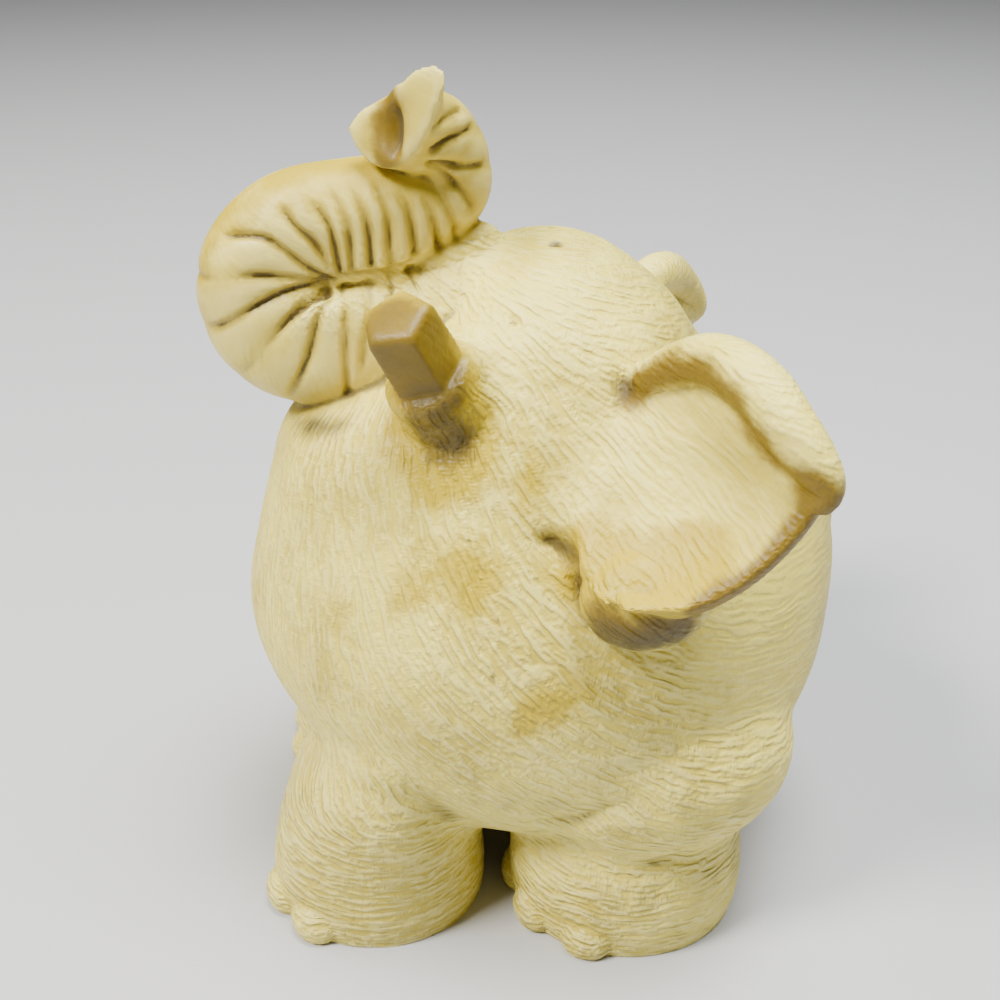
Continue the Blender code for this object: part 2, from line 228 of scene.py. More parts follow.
def addTrunk(bm):
    places, radii = trunkLine[:, :3], trunkLine[:, 3]
    ways = directions(places)
    travelled = np.concatenate([[0], np.cumsum(np.linalg.norm(np.diff(places, axis=0), axis=1))])
    matrices = [ringMatrix(place, way, r, r) for place, way, r in zip(places, ways, radii)]
    for depth, narrow in trunk["hollow"]:
        r = radii[-1] * narrow
        matrices.append(ringMatrix(places[-1] + ways[-1] * depth, ways[-1], r, r))
    rings = sweep(bm, matrices, trunk["sides"])
    chance = np.random.default_rng(7).random(90)
    table = np.array(trunk["folds"])
    share = travelled / travelled[-1]
    pitch = np.interp(share, table[:, 0], table[:, 1])
    phase = np.concatenate([[0], np.cumsum(np.diff(travelled) / pitch[1:])])
    for i in range(len(travelled)):
        depths = [np.interp(share[i], table[:, 0], table[:, column]) for column in (2, 3, 4)]
        square = np.interp(share[i], *trunk["square"])
        if max(depths) > 0 or square > 0:
            foldedRing(rings[i], matrices[i], phase[i], depths, square, chance)
    for i, ring in enumerate(rings):
        near = 1 - (travelled[-1] - travelled[min(i, len(travelled) - 1)]) / trunk["tipReach"]
        if near > 0:
            drawnTip(ring, matrices[i], near, Vector(ways[-1]))
    for middle, radii, tilt in trunk["webs"]:
        addBall(bm, middle, radii, tilt)


# A short tail that lies against the rump, from the top down (height, radius)
tail = {
    "stations": ((52, 2.0), (47, 1.9), (41, 1.7), (35, 1.6), (30, 1.7), (26.5, 2.3), (23.5, 1.9), (21.5, 0.9)),
    "sway": 2.4,
    "swayLength": 9,
    "sunk": 0.5,
}


def addTail(bm):
    rump = smoothLine(body["slices"], 60)
    line = []
    for z, radius in smoothLine(tail["stations"], 60):
        back = np.interp(z, rump[:, 0], rump[:, 2])
        line.append((tail["sway"] * math.sin(z / tail["swayLength"]), back - tail["sunk"], z, radius))
    line = np.array(line)
    sweep(bm, [ringMatrix(spot[:3], way, spot[3], spot[3])
               for spot, way in zip(line, directions(line[:, :3]))], 24)


# Tusks: a wrinkled sheath (share of the way from root to ring, radius) and a faceted stub
tusk = {
    "root": (11, -2.0, 61),
    "ring": (16.2, -8.2, 72.6),
    "end": (19.6, -11.0, 79.9),
    "sheath": ((0, 7.2), (0.45, 6.0), (0.75, 5.3), (0.95, 5.1), (1, 4.8)),
    "wrinkles": 5,
    "wrinkleDepth": 0.45,
    "stubRadii": (4.3, 4.0),
    "stubSunk": 0.2,
    "facets": 5,
    "edge": 0.9,
}


def addTusk(bm, side):
    root, ring, end = (Vector((side * p[0], p[1], p[2])) for p in (tusk["root"], tusk["ring"], tusk["end"]))
    rows = []
    for share, radius in smoothLine(tusk["sheath"], 50):
        wrinkle = 1 - abs(math.sin(math.pi * tusk["wrinkles"] * share)) ** 0.5
        radius -= tusk["wrinkleDepth"] * wrinkle * max(0, share - 0.3)
        rows.append(ringMatrix(root.lerp(ring, min(1, share)), ring - root, radius, radius))
    sweep(bm, rows, 40)
    low, high = tusk["stubRadii"]
    bottom = ring.lerp(root, tusk["stubSunk"])
    rings = sweep(bm, [ringMatrix(bottom, end - ring, low, low), ringMatrix(end, end - ring, high, high)],
                  tusk["facets"])
    sharp = set(rings[1])
    rim = list({edge for vert in sharp for edge in vert.link_edges if all(v in sharp for v in edge.verts)})
    bmesh.ops.bevel(bm, geom=rim, offset=tusk["edge"] * unit, affect="EDGES", segments=2, profile=0.5,
                    material=-1)


# Ears: the line that joins the head and the free outline, both from the top down
ear = {
    "joined": ((12, 10.5, 68), (15, 10.5, 68.5), (18.5, 8.5, 65), (22, 7, 60.5), (25.6, 6.8, 56.8),
               (27.4, 9.4, 53.6)),
    "free": ((16.5, 14.0, 71.2), (21.0, 19.0, 75.4), (26.5, 22.8, 75.6), (31.5, 26.0, 72.2),
             (34.0, 28.8, 68.0), (34.8, 27.2, 63.8), (35.6, 22.6, 58.8), (35.4, 17.4, 55.4),
             (34.4, 13.2, 54.7), (32.6, 10.6, 54.6)),
    "thickness": (3.2, 5.2),
    "blunt": 0.5,                      # 1 keeps an oval section, less cuts its edge square
    "cup": 2.4,
    "rows": 80,
    "lobe": ((28.3, 13.8, 52.6), (5.0, 6.8, 5.8)),
    "joint": ((18.5, 8.0, 66.5), (22, 6.2, 62), (24.6, 5.6, 59.6)),
    "jointReach": 4.2,
    "jointRounds": 110,
    "rollRadius": 2.9,
    "rollShare": 0.5,
    "rollTaper": (0.12, 0.97),
    "farDrop": -7.5,                   # the far ear hangs lower
}


def addEar(bm, side, drop=0):
    rows = ear["rows"]
    joined = smoothLine(ear["joined"], rows)
    free = smoothLine(ear["free"], rows)
    free[:, 2] += drop
    thin, thick = ear["thickness"]
    matrices = []
    for i, (inner, outer, down) in enumerate(zip(joined, free, directions((joined + free) / 2))):
        across = (Vector(outer) - Vector(inner)) / 2
        normal = Vector(down).cross(across).normalized()
        depth = (thin + (thick - thin) * (i / rows) ** 2) / 2
        ring = Matrix.Identity(4)
        for column, axis in enumerate((across, normal * depth, across.cross(normal).normalized())):
            ring.col[column].xyz = axis * unit
        ring.col[3].xyz = (Vector(inner) + Vector(outer)) / 2 * unit
        matrices.append(ring)
    rings = sweep(bm, matrices, 48)
    for i, ring in enumerate(rings):
        back = matrices[i].inverted()
        normal = matrices[i].col[1].xyz.normalized()
        middle = math.sin(math.pi * i / (rows - 1)) ** 0.5
        for vert in ring:
            spot = back @ vert.co
            wide = math.copysign(abs(spot.x) ** ear["blunt"], spot.x)
            deep = math.copysign(abs(spot.y) ** ear["blunt"], spot.y)
            vert.co = matrices[i] @ Vector((wide, deep, spot.z))
            vert.co -= normal * ear["cup"] * unit * middle * (1 - wide ** 2)
    rim = smoothLine([free[int(i)] for i in np.linspace(0, rows * ear["rollShare"], 9)], rows)
    radii = ear["rollRadius"] * np.sin(math.pi * np.linspace(*ear["rollTaper"], len(rim))) ** 0.5
    rings += sweep(bm, [ringMatrix(place, way, r, r)
                        for place, way, r in zip(rim, directions(rim), radii)], 24)
    middle, radii = ear["lobe"]
    rings.append(addBall(bm, (middle[0], middle[1], middle[2] + drop), radii))
    if side < 0:
        for ring in rings:
            bmesh.ops.transform(bm, matrix=Matrix.Diagonal((-1, 1, 1, 1)), verts=ring)


def applied(lump):
    bpy.context.view_layer.update()
    result = bpy.data.meshes.new_from_object(lump.evaluated_get(bpy.context.evaluated_depsgraph_get()))
    bpy.data.objects.remove(lump)
    return result


def remeshed(bm, grain, softening):
    # one closed skin around all the shells
    mesh = bpy.data.meshes.new("lump")
    bm.to_mesh(mesh)
    bm.free()
    lump = bpy.data.objects.new("lump", mesh)
    bpy.context.scene.collection.objects.link(lump)
    wrap = lump.modifiers.new("wrap", "REMESH")
    wrap.mode = "VOXEL"
    wrap.voxel_size = grain * unit
    soften = lump.modifiers.new("soften", "SMOOTH")
    soften.factor = 0.5
    soften.iterations = softening
    return applied(lump)


def shell(bm, make, *facts):
    # each form is made by itself and then joins the rest
    own = bmesh.new()
    make(own, *facts)
    mesh = bpy.data.meshes.new("shell")
    own.to_mesh(mesh)
    own.free()
    bm.from_mesh(mesh)
    bpy.data.meshes.remove(mesh)


def figureMesh():
    bm = bmesh.new()
    shell(bm, addBody)
    for leg in (frontLeg, rearLeg):
        for side in (1, -1):
            shell(bm, addLeg, leg, side)
    soft = remeshed(bm, skin["bodyGrain"], skin["bodySoftening"])
    print("body blended", len(soft.polygons), "faces")
    bm = bmesh.new()
    for side in (1, -1):
        for leg in (frontLeg, rearLeg):
            shell(bm, addNails, leg, side)
        shell(bm, addTusk, side)
    shell(bm, addTrunk)
    shell(bm, addTail)
    shell(bm, addEar, 1)
    shell(bm, addEar, -1, ear["farDrop"])
    bm.from_mesh(soft)
    print("trunk, ears, tusks, tail and nails added")
    bmesh.ops.recalc_face_normals(bm, faces=bm.faces[:])
    return remeshed(bm, skin["grain"], skin["softening"])


# Carved lines: places, width, depth; "both" carves the mirrored line as well
carved = (
    {"line": ((24.3, -4.1, 19.0), (24.8, -7.9, 20.8), (26.4, -11.6, 23.9), (26.2, -15.3, 24.9),
              (23.9, -19.2, 25.0), (17.8, -22.9, 24.3)), "width": 2.4, "depth": 0.7, "both": True},
    {"line": ((27.5, 3.6, 21.5), (28.4, 7.2, 22.2), (29.9, 10.6, 24.8), (30.4, 14.1, 27.4)),
     "width": 1.5, "depth": 0.9, "both": True},
    {"line": ((24.7, 5.3, 17.2), (26.1, 9.5, 14.3), (27.7, 13.2, 13.1), (27.5, 17.2, 14.3),
              (27.8, 22.7, 17.6), (28.6, 25.2, 20.9)), "width": 1.2, "depth": 0.5, "both": True},
    {"line": ((24.4, 3.5, 57.2), (25.0, 4.6, 57.0), (25.8, 5.8, 55.6)),
     "width": 1.2, "depth": 1.6, "both": True},
    {"line": ((4.8, -10.5, 97.0), (5.6, -10.9, 94.6), (6.4, -11.1, 92.2)), "width": 0.9, "depth": 1.3,
     "both": False},
    {"line": ((26.0, 6.2, 55.0), (27.0, 7.2, 52.6), (28.2, 8.2, 50.0)), "width": 0.7, "depth": 0.8,
     "both": True},
    {"line": ((16.4, 12.0, 71.2), (17.2, 13.0, 70.6)), "width": 1.0, "depth": 0.7, "both": True},
    {"line": ((17.7, 4.6, 71.2), (17.6, 5.6, 71.2)), "width": 0.8, "depth": 0.35, "both": True},
    {"line": ((12.4, 0.7, 76.4), (12.4, 1.3, 76.2)), "width": 0.6, "depth": 0.6, "both": False},
    {"line": ((2.8, 5.2, 81.7), (2.8, 6.6, 81.5)), "width": 0.6, "depth": 0.6, "both": False},
)

# Grooves between the trunk's folds: places, depth at the first one and at the last; each is mirrored
grooves = (
    (((0, -33.3, 78.2), (4.0, -31.5, 78.6), (6.4, -26.6, 79.5), (6.2, -23.2, 79.3), (5.8, -19.8, 78.8),
      (5.6, -18.0, 78.5)), 0.9, 0.9),
    (((3.6, -29.8, 82.9), (4.8, -28.1, 83.5), (6.0, -24.9, 83.5), (6.1, -22.5, 81.9), (6.1, -20.7, 80.3),
      (5.9, -18.4, 78.8)), 0.8, 0.9),
    (((4.7, -23.1, 86.8), (5.8, -21.7, 84.8), (6.1, -19.5, 82.6), (5.4, -17.8, 78.9)), 0.8, 0.9),
    (((4.8, -20.1, 87.3), (5.9, -18.3, 85.2), (6.1, -17.6, 82.9), (6.0, -17.2, 79.6)), 0.6, 0.9),
    (((3.9, -18.1, 88.5), (5.3, -16.9, 86.6), (5.9, -16.0, 83.9), (5.7, -15.9, 80.0)), 0.3, 1.0),
    (((3.6, -16.2, 88.9), (5.3, -14.8, 86.7), (5.8, -14.0, 84.2), (5.7, -13.8, 80.3)), 0.3, 1.0),
    (((3.8, -13.4, 88.9), (4.8, -12.7, 87.6), (5.5, -11.9, 85.2), (5.5, -11.8, 83.0),
      (5.1, -11.8, 80.3)), 0.2, 1.0),
    (((4.1, -11.0, 88.4), (5.1, -9.8, 86.4), (5.3, -9.3, 83.7), (4.9, -9.2, 81.2)), 0.2, 0.9),
    (((4.6, -8.4, 87.7), (5.0, -7.4, 85.8), (4.7, -6.9, 83.4), (3.9, -6.6, 81.7)), 0.2, 0.9),
    (((4.0, -7.2, 88.6), (4.6, -5.9, 86.2), (3.8, -5.0, 84.0), (3.4, -4.6, 82.4)), 0.2, 0.8),
    (((0, -32.9, 72.6), (4.5, -31.4, 73.2), (6.2, -29.3, 74.4), (6.9, -25.8, 76.5), (6.5, -22.4, 77.9),
      (5.4, -18.6, 78.3)), 1.0, 0.9),
    (((0, -30.2, 66.6), (5.4, -28.1, 68.7), (6.8, -25.5, 71.8), (7.1, -22.6, 75.1), (6.4, -20.4, 76.7),
      (5.5, -18.6, 77.2)), 1.0, 0.9),
    (((0, -24.0, 63.0), (5.4, -23.5, 65.7), (7.5, -21.8, 69.0), (7.6, -20.6, 71.9), (7.3, -19.6, 75.3),
      (6.2, -18.6, 76.8)), 0.9, 0.7),
    (((5.6, -17.4, 64.6), (7.3, -17.1, 67.4), (7.6, -17.0, 70.7), (7.5, -16.8, 75.0),
      (4.8, -17.2, 77.5)), 0.6, 0.6),
    (((7.4, -15.4, 68.0), (7.7, -15.0, 71.0), (7.4, -14.4, 74.5), (6.1, -14.1, 76.5),
      (5.2, -14.4, 78.3)), 0.5, 0.4),
    (((7.4, -12.0, 72.0), (7.0, -11.6, 75.0), (5.4, -11.8, 77.1), (5.1, -12.1, 78.9)), 0.3, 0.5),
    (((7.4, -8.6, 74.0), (5.6, -9.0, 77.0), (4.2, -10.1, 79.3)), 0.2, 0.5),
    (((6.9, -6.6, 76.0), (5.1, -6.9, 79.2), (4.9, -7.5, 80.2)), 0.2, 0.4),
    (((7.0, -4.4, 76.7), (5.1, -4.4, 78.9), (4.8, -5.3, 80.8)), 0.2, 0.4),
    (((5.6, -2.1, 79.1), (3.6, -2.8, 81.2)), 0.2, 0.3),
    (((3.2, -3.0, 85.3), (4.0, -3.6, 87.0), (4.6, -5.1, 88.8), (5.7, -7.2, 90.5)), 0.6, 0.8),
    (((2.6, -1.6, 90.2), (3.6, -2.3, 90.2), (5.3, -5.3, 90.6), (6.2, -7.3, 90.8)), 0.6, 1.0),
    (((3.0, -2.6, 94.2), (4.1, -3.3, 94.0), (6.2, -5.3, 93.4), (7.2, -6.8, 92.5)), 0.6, 1.0),
    (((3.2, -3.8, 96.0), (4.1, -4.4, 96.0), (6.2, -5.7, 95.5), (7.8, -6.8, 95.1)), 0.7, 0.5),
    (((5.4, -18.6, 78.4), (5.8, -17.1, 79.1), (5.5, -14.4, 79.4), (5.1, -12.6, 79.5), (4.8, -10.2, 80.1),
      (4.6, -7.3, 80.8), (4.0, -5.3, 81.7), (2.9, -2.9, 82.1)), 0.6, 0.4),
)
grooveShape = {"core": 0.38, "coreShare": 0.55, "skirt": 0.75, "skirtShare": 0.45, "margin": 2}

# The way the strokes run, by place on the side: y, z, degrees down from level towards the rump, depth.
# They fade near the trunk, the stubs and the trunk's tip (how near they start, over what distance they grow)
strokes = {
    "map": ((-28, 50, 88, 0.8), (-26, 38, 78, 0.9), (-20, 28, 60, 1.0), (-8, 50, 62, 0.8), (-4, 36, 42, 1.1),
            (6, 30, 36, 1.2), (4, 44, 48, 1.0), (18, 34, 24, 1.1), (30, 32, 8, 0.7), (38, 46, 4, 0.3),
            (30, 58, 0, 0.3), (14, 46, 30, 0.9), (-16, 12, 0, 1.2), (-16, 4, 0, 1.1), (16, 10, 4, 1.3),
            (16, 3, 0, 1.2), (30, 16, 4, 1.0), (-4, 66, 74, 0.9), (4, 72, 60, 0.9), (-2, 76, 30, 0.7),
            (6, 81, 8, 0.7), (16, 76, 10, 0.6), (20, 66, 24, 0.4), (28, 62, 30, 0.35), (14, 60, 40, 0.45)),
    "reach": 6.0,
    "steps": 11,
    "depth": 0.055,
    "trunkShare": 0.15,
    "offTrunk": (0.4, 1.5),
    "offStub": (5.5, 2),
    "offTip": (7, 4),
    "kept": 0.15,                      # share of its own value that a vertex keeps while strokes grow
    "narrow": 5,
    "wideRounds": 6,
    "contrast": 1.3,
}

# Ochre staining: places along a line, reach, strength
ochre = (
    (((25.4, -3.5, 53.2),), 7.0, 0.7), (((23.9, -9.1, 53.5),), 6.0, 0.6), (((23.0, 1.3, 62.5),), 4.5, 0.6),
    (((30.3, 4.0, 41.3),), 6.5, 0.7), (((28.5, 7.5, 56.5), (31.5, 12.5, 56.5), (34.0, 16.5, 56.5)), 5.2, 1.5),
    (((28.5, 22.0, 36.0),), 6.0, 0.4), (((22.0, -17.0, 46.0),), 6.0, 0.35),
    (((0, -30.0, 80.0), (0, -22.0, 88.5), (0, -10.0, 90.0)), 5.0, 0.9),
    (((17.5, -6.5, 66.0), (18.5, -9.0, 74.0), (20.0, -11.0, 78.0)), 6.5, 1.6),
    (((28.0, 15.0, 60.0), (31.5, 20.0, 60.5)), 2.6, 0.75),
)
# Brown rind, partly real and partly painted shade: real brown on the tusks' sheaths and stubs, the trunk's tip
# and the ear's tip; painted shade on the downward face of the ear's rolled rim, along its lower edge and under
# its lobe
rindAndShade = (
    (((17.8, 12.9, 71.0), (20.0, 15.5, 73.5), (24.0, 18.3, 75.5), (27.0, 20.6, 74.6), (29.5, 22.0, 72.6),
      (31.5, 23.6, 70.6), (33.6, 26.0, 69.0)), 2.8, 0.75),
    (((34.8, 26.4, 68.6), (36.0, 28.6, 67.0)), 3.4, 0.9),
    (((35.6, 27.4, 65.0), (36.2, 24.9, 61.3), (36.2, 22.4, 58.6), (36.0, 18.4, 55.6)), 2.1, 1.1),
    (((18.0, -5.5, 65.5), (19.5, -8.0, 69.5)), 3.6, 0.75), (((5.2, -11.4, 92.6), (4.8, -11.4, 96.4)), 2.6, 0.8),
    (((19.5, -8.5, 73.5), (21.0, -10.0, 77.5)), 5.2, 1.1), (((32.0, 9.0, 52.0), (32.5, 17.0, 51.5)), 3.2, 0.8),
)
# Grey-brown grime on the tusks' sheaths and stubs, and painted shade: under the ear's lobe, the trunk and the
# belly, low on the legs, between the legs, in the slot behind the ear, in small carved pits and in the trunk's
# nostril
grimeAndShade = (
    (((33.2, 17.0, 50.2), (33.4, 13.5, 49.8), (31.5, 9.8, 50.2)), 4.0, 0.8),
    (((18.5, -8.0, 72.5), (20.5, -10.5, 77.5)), 5.5, 0.55), (((17.5, -5.5, 66.0), (18.5, -7.0, 70.0)), 4.5, 0.8),
    (((24.0, -12.0, 24.0), (27.0, 0.0, 27.0), (28.0, 12.0, 24.0), (27.0, 24.0, 26.0)), 8.0, 0.45),
    (((28.0, 12.0, 8.0), (27.0, 24.0, 10.0)), 9.0, 0.42),
    (((24.6, 3.8, 57.2), (25.8, 6.0, 55.4)), 1.3, 1.0), (((26.4, 6.6, 54.0), (28.0, 8.2, 50.6)), 1.0, 0.6),
    (((16.9, 12.4, 71.0),), 1.6, 0.9), (((17.7, 5.0, 71.2),), 0.9, 0.5), (((2.8, 5.9, 81.6),), 1.1, 0.9),
    (((0, -30.0, 62.5), (10.0, -18.0, 63.0), (13.0, -8.0, 64.0)), 2.6, 0.7),
    (((24.0, 1.0, 14.0), (26.0, 4.0, 17.0)), 2.5, 0.6), (((5.2, -11.2, 95.0), (6.0, -11.2, 92.6)), 1.0, 0.8),
)
# The far side has the same stains and painted shade, weaker, and on the far ear they hang as low as the ear does
farStainsAndShade = {"strength": 0.7, "earFrom": 22, "earWidth": 12}


def gathered(values, edges, weights, count):
    # the sum over each vertex's neighbours
    return (np.bincount(edges[:, 0], weights * values[edges[:, 1]], count)
            + np.bincount(edges[:, 1], weights * values[edges[:, 0]], count))


def softened(coords, edges, rounds):
    count = len(coords)
    ones = np.ones(len(edges))
    degree = np.bincount(edges.ravel(), minlength=count)
    result = coords.copy()
    for _ in range(rounds):
        around = np.column_stack([gathered(result[:, axis], edges, ones, count) for axis in range(3)])
        result = 0.5 * result + 0.5 * around / degree[:, None]
    return result


def readMesh(mesh):
    count = len(mesh.vertices)
    coords = np.empty(count * 3)
    mesh.vertices.foreach_get("co", coords)
    normals = np.empty(count * 3)
    mesh.vertices.foreach_get("normal", normals)
    edges = np.empty(len(mesh.edges) * 2, dtype=np.int64)
    mesh.edges.foreach_get("vertices", edges)
    return coords.reshape(-1, 3) / unit, normals.reshape(-1, 3), edges.reshape(-1, 2)


def trunkGap(coords):
    # distance from the trunk's surface, less than nothing inside it
    line = trunkLine[int(0.2 * len(trunkLine))::8]
    gap = np.full(len(coords), farAway)
    for spot in line:
        gap = np.minimum(gap, np.linalg.norm(coords - spot[:3], axis=1) - spot[3])
    return gap


def strokeField(coords, normals):
    # the unit way of the strokes and their depth at each vertex
    table = np.array(strokes["map"])
    apart = (coords[:, 1, None] - table[:, 0]) ** 2 + (coords[:, 2, None] - table[:, 1]) ** 2
    weights = np.exp(-apart / (2 * strokes["reach"] ** 2)) + 1e-9
    weights /= weights.sum(axis=1)[:, None]
    double = np.radians(table[:, 2]) * 2
    angle = np.arctan2(weights @ np.sin(double), weights @ np.cos(double)) / 2
    depth = weights @ table[:, 3]
    side = np.where(coords[:, 0] < 0, -1.0, 1.0)
    around = np.column_stack([-side * normals[:, 1], np.abs(normals[:, 0]) + normals[:, 2] ** 4,
                              np.zeros(len(coords))])
    down = np.tile((0.0, 0.0, -1.0), (len(coords), 1))
    for vector in (around, down):
        vector -= (vector * normals).sum(axis=1)[:, None] * normals
        vector /= np.linalg.norm(vector, axis=1)[:, None] + 1e-9
    way = np.cos(angle)[:, None] * around + np.sin(angle)[:, None] * down
    way /= np.linalg.norm(way, axis=1)[:, None] + 1e-9
    gap = trunkGap(coords)
    start, growth = strokes["offTrunk"]
    depth *= strokes["trunkShare"] + (1 - strokes["trunkShare"]) * np.clip((gap - start) / growth, 0, 1)
    start, growth = strokes["offStub"]
    for side in (1, -1):
        middle = (np.array(tusk["ring"]) + np.array(tusk["end"])) / 2 * (side, 1, 1)
        depth *= np.clip((np.linalg.norm(coords - middle, axis=1) - start) / growth, 0.1, 1)
    start, growth = strokes["offTip"]
    depth *= np.clip((np.linalg.norm(coords - trunkLine[-1, :3], axis=1) - start) / growth, 0.15, 1)
    return way, depth


def strokeRelief(coords, edges, way):
    # chance values drawn out along the way of the strokes
    count = len(coords)
    span = coords[edges[:, 1]] - coords[edges[:, 0]]
    span /= np.linalg.norm(span, axis=1)[:, None] + 1e-9
    lined = np.abs((span * way[edges[:, 0]]).sum(axis=1)) ** strokes["narrow"]
    total = strokes["kept"] + gathered(np.ones(count), edges, lined, count)
    relief = np.random.default_rng(3).standard_normal(count)
    for _ in range(strokes["steps"]):
        relief = (strokes["kept"] * relief + gathered(relief, edges, lined, count)) / total
    ones = np.ones(len(edges))
    degree = gathered(np.ones(count), edges, ones, count)
    wide = relief
    for _ in range(strokes["wideRounds"]):
        wide = 0.4 * wide + 0.6 * gathered(wide, edges, ones, count) / degree
    relief = relief - wide
    return np.tanh(strokes["contrast"] * relief / relief.std())


def carvedDepth(coords):
    depth = np.zeros(len(coords))
    for mark in carved:
        long = len(mark["line"]) > 2
        line = smoothLine(mark["line"], 40) if long else np.linspace(*np.array(mark["line"]), 8)
        taper = np.sin(math.pi * np.linspace(0.1, 0.9, len(line))) ** 0.5
        for side in ((1, -1) if mark["both"] else (1,)):
            places = line * (side, 1, 1)
            low, high = places.min(axis=0) - 3 * mark["width"], places.max(axis=0) + 3 * mark["width"]
            near = np.flatnonzero(((coords > low) & (coords < high)).all(axis=1))
            apart = np.linalg.norm(coords[near, None] - places, axis=2)
            cut = mark["depth"] * (taper * np.exp(-(apart / mark["width"]) ** 2)).max(axis=1)
            depth[near] = np.maximum(depth[near], cut)
    return depth


def grooveDepth(coords):
    # a sharp line between two rounded folds
    depth = np.zeros(len(coords))
    core, coreShare, skirt, skirtShare, margin = grooveShape.values()
    for places, first, last in grooves:
        line = smoothLine(places, 50)
        strength = np.linspace(first, last, len(line))
        if places[0][0] > 0:     # one that starts beside the middle line fades in there
            strength *= np.clip(np.linspace(0, 6, len(line)), 0, 1)
        for side in (1, -1):
            spots = line * (side, 1, 1)
            inside = (coords > spots.min(axis=0) - margin) & (coords < spots.max(axis=0) + margin)
            near = np.flatnonzero(inside.all(axis=1))
            apart = np.linalg.norm(coords[near, None] - spots, axis=2)
            shape = coreShare * np.exp(-(apart / core) ** 2) + skirtShare * np.exp(-apart / skirt)
            depth[near] = np.maximum(depth[near], (strength * shape).max(axis=1))
    return depth


def easeJoints(coords, edges):
    # the ears run on into the cheeks without a crease
    line = smoothLine(ear["joint"], 20)
    for side in (1, -1):
        places = line * (side, 1, 1)
        apart = np.full(len(coords), farAway)
        for place in places:
            apart = np.minimum(apart, np.linalg.norm(coords - place, axis=1))
        weight = np.exp(-(apart / ear["jointReach"]) ** 4)
        near = np.flatnonzero(apart < 3 * ear["jointReach"])
        index = np.full(len(coords), -1)
        index[near] = np.arange(len(near))
        inside = edges[(index[edges] >= 0).all(axis=1)]
        eased = softened(coords[near], index[inside], ear["jointRounds"])
        coords[near] += (eased - coords[near]) * weight[near, None]


def carveSkin(mesh):
    coords, _, edges = readMesh(mesh)
    easeJoints(coords, edges)
    mesh.vertices.foreach_set("co", (coords * unit).ravel())
    mesh.update()
    coords, normals, edges = readMesh(mesh)
    way, depth = strokeField(coords, normals)
    relief = strokeRelief(coords, edges, way) * depth * strokes["depth"]
    groove = grooveDepth(coords)
    coords += normals * (relief - carvedDepth(coords) - groove)[:, None]
    mesh.vertices.foreach_set("co", (coords * unit).ravel())
    mesh.attributes.new("groove", "FLOAT", "POINT").data.foreach_set("value", groove.astype(np.float32))
    mesh.update()


def thinned(mesh):
    lump = bpy.data.objects.new("lump", mesh)
    bpy.context.scene.collection.objects.link(lump)
    whole = sum(len(face.vertices) - 2 for face in mesh.polygons)
    thin = lump.modifiers.new("thin", "DECIMATE")
    thin.ratio = min(1, skin["triangles"] / whole)
    return applied(lump)


def looseBits(bm):
    # every vertex that the largest joined group doesn't hold
    seen = set()
    groups = []
    for first in bm.verts:
        if first in seen:
            continue
        group, waiting = [], [first]
        seen.add(first)
        while waiting:
            vert = waiting.pop()
            group.append(vert)
            near = {edge.other_vert(vert) for edge in vert.link_edges} - seen
            seen |= near
            waiting.extend(sorted(near, key=lambda other: other.index))
        groups.append(group)
    groups.sort(key=len)
    return [vert for group in groups[:-1] for vert in group]


def cutSoles(mesh):
    bm = bmesh.new()
    bm.from_mesh(mesh)
    # specks that float beside an ear's thin edge are dropped, so that one closed skin is left
    bmesh.ops.delete(bm, geom=looseBits(bm), context="VERTS")
    whole = bm.verts[:] + bm.edges[:] + bm.faces[:]
    bmesh.ops.bisect_plane(bm, geom=whole, dist=1e-7, plane_co=(0, 0, 0), plane_no=(0, 0, 1), clear_inner=True)
    bmesh.ops.holes_fill(bm, edges=[edge for edge in bm.edges if edge.is_boundary], sides=0)
    bmesh.ops.triangulate(bm, faces=bm.faces[:])
    bmesh.ops.recalc_face_normals(bm, faces=bm.faces[:])
    bm.to_mesh(mesh)
    bm.free()


def stainAndShadePatches(coords, patches):
    amount = np.zeros(len(coords))
    far = coords[:, 0] < 0
    coords = coords.copy()
    outwards = (-coords[far, 0] - farStainsAndShade["earFrom"]) / farStainsAndShade["earWidth"]
    coords[far, 2] -= ear["farDrop"] * np.clip(outwards, 0, 1)
    coords[far, 0] *= -1
    for places, reach, strength in patches:
        places = np.array(places, dtype=float)
        if len(places) > 1:
            places = smoothLine(places, 8 * len(places))
        apart = np.full(len(coords), farAway)
        for place in places:
            apart = np.minimum(apart, np.linalg.norm(coords - place, axis=1))
        amount = np.maximum(amount, strength * np.exp(-(apart / reach) ** 2))
    return np.where(far, farStainsAndShade["strength"] * amount, amount)


def markSkin(mesh):
    # what the stone's colour and bump follow: stroke ways and depths, hollows (which carry painted shade and
    # painted highlight), stains and painted shade
    coords, normals, edges = readMesh(mesh)
    way, depth = strokeField(coords, normals)
    fine = ((softened(coords, edges, skin["fineRounds"]) - coords) * normals).sum(axis=1)
    broad = ((softened(coords, edges, skin["broadRounds"]) - coords) * normals).sum(axis=1)
    # softened works on three columns, so one is given twice
    fine, broad = softened(np.column_stack([fine, broad, broad]), edges, skin["evenRounds"])[:, :2].T
    layers = {
        "strokeDepth": depth,
        "fineHollow": np.clip(fine / skin["fineDepth"], -1, 1),
        "broadHollow": np.clip(broad / skin["broadDepth"], -1, 1),
        "ochre": stainAndShadePatches(coords, ochre),
        "rindAndShade": stainAndShadePatches(coords, rindAndShade),
        "grimeAndShade": stainAndShadePatches(coords, grimeAndShade),
        "trunkness": np.clip(1 - trunkGap(coords) / skin["trunkReach"], 0, 1),
    }
    for name, values in layers.items():
        mesh.attributes.new(name, "FLOAT", "POINT").data.foreach_set("value", values.astype(np.float32))
    mesh.attributes.new("strokeWay", "FLOAT_VECTOR", "POINT").data.foreach_set(
        "vector", way.astype(np.float32).ravel())


